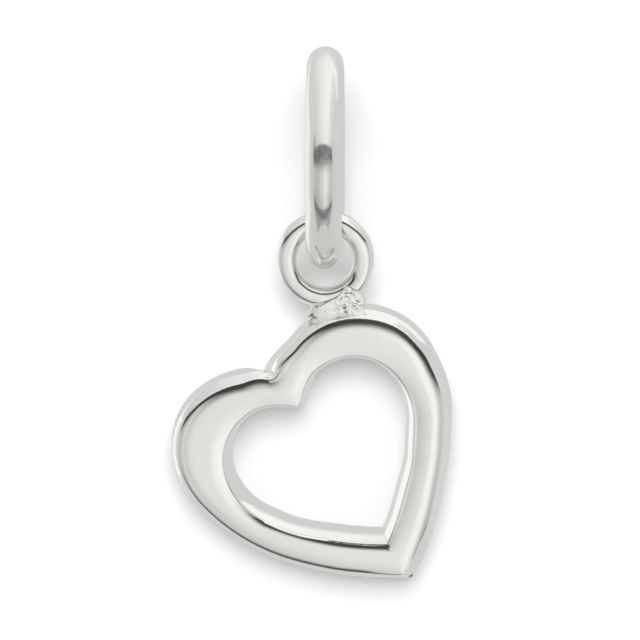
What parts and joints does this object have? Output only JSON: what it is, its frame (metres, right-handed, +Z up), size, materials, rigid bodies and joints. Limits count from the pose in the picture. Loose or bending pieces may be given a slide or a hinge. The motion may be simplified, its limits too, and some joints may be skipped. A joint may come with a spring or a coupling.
{
  "type": "heart pendant",
  "caption": "Open heart pendant in polished silver, leaning to one side, with a small eye ring soldered on top and a jump ring through it for a chain.",
  "frame": {"origin": "inner top of the jump ring, the point that rests on a chain, with the pendant hanging below it", "axes": "+X across the front to the viewer's right, +Y from the front to the back, +Z up; the heart's open face looks along -Y and the jump ring lies in the YZ plane"},
  "size_m": [0.0099, 0.008, 0.0193],
  "materials": {
    "silver": "polished"
  },
  "bodies": {
    "jump_ring": {"jump_ring": "silver"},
    "heart": {"heart": "silver"}
  },
  "joints": [
    {"name": "heart_swing", "type": "hinge", "parent": "jump_ring", "child": "heart", "pos_m": [0, 0, -0.00605], "axis": [0, 1, 0], "range_deg": [-90, 90]}
  ]
}
